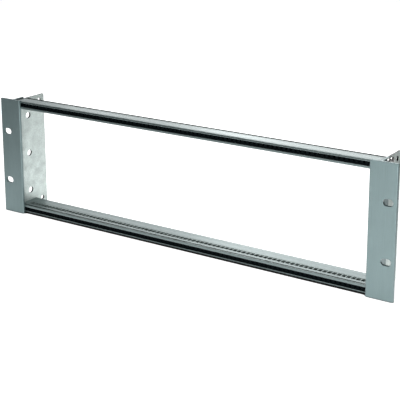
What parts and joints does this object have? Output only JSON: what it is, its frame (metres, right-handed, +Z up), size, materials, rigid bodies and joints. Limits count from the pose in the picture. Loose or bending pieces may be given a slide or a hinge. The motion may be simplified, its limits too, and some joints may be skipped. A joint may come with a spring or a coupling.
{
  "type": "subrack card cage",
  "caption": "Shallow open subrack card cage: slotted rack flanges and punched side plates joined by grooved rails that take card guides and front panels.",
  "frame": {"origin": "centre of the rack-slot pattern, on the front plane of the rack flanges", "axes": "+X to the right seen from the front, along the rails; +Y from the front to the back; +Z up"},
  "size_m": [0.4826, 0.049, 0.1326],
  "materials": {
    "flange": "satin anodised",
    "plate": "passivated, mottled",
    "rail": "clear anodised",
    "strip": "black phosphated steel",
    "screw": "zinc plated"
  },
  "bodies": {
    "root": {"left_side_plate": "plate", "right_side_plate": "plate", "left_rack_flange": "flange", "right_rack_flange": "flange", "top_rail": "rail", "bottom_rail": "rail", "top_threaded_strip": "strip", "bottom_threaded_strip": "strip", "left_front_rail_screws": "screw", "left_back_rail_screws": "screw", "left_flange_screws": "screw", "right_front_rail_screws": "screw", "right_back_rail_screws": "screw", "right_flange_screws": "screw", "top_set_screws": "strip", "bottom_set_screws": "strip"}
  },
  "joints": []
}
